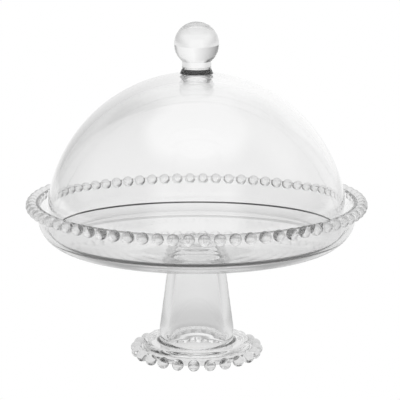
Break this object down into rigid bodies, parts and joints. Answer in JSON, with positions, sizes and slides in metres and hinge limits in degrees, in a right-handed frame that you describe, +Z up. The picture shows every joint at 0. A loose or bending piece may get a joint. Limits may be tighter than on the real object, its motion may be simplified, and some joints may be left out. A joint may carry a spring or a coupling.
{
  "type": "cake stand with dome cover",
  "caption": "Clear glass pedestal cake stand with a beaded rim and beaded foot, and a lift-off glass dome cover with a ball knob.",
  "frame": {"origin": "on the table under the stand's centre, at the bottom of the foot beads", "axes": "+Z up along the stand's axis; -Y is the front; the stand and cover are round about +Z"},
  "size_m": [0.2998, 0.2998, 0.2976],
  "materials": {
    "plate": "clear pressed glass, fire-polished",
    "rim_beads": "clear pressed glass, fire-polished",
    "stem": "clear pressed glass, fire-polished",
    "foot": "clear pressed glass, fire-polished",
    "foot_beads": "clear pressed glass, ground flat where each bead stands",
    "dome": "clear blown glass, polished lip",
    "knob": "clear solid glass, fire-polished"
  },
  "bodies": {
    "stand": {"plate": "plate", "rim_beads": "rim_beads", "stem": "stem", "foot": "foot", "foot_beads": "foot_beads"},
    "cover": {"dome": "dome", "knob": "knob"}
  },
  "joints": [
    {"name": "cover_lift", "type": "slide", "parent": "stand", "child": "cover", "axis": [0, 0, 1], "range_m": [0, 0.16]}
  ]
}
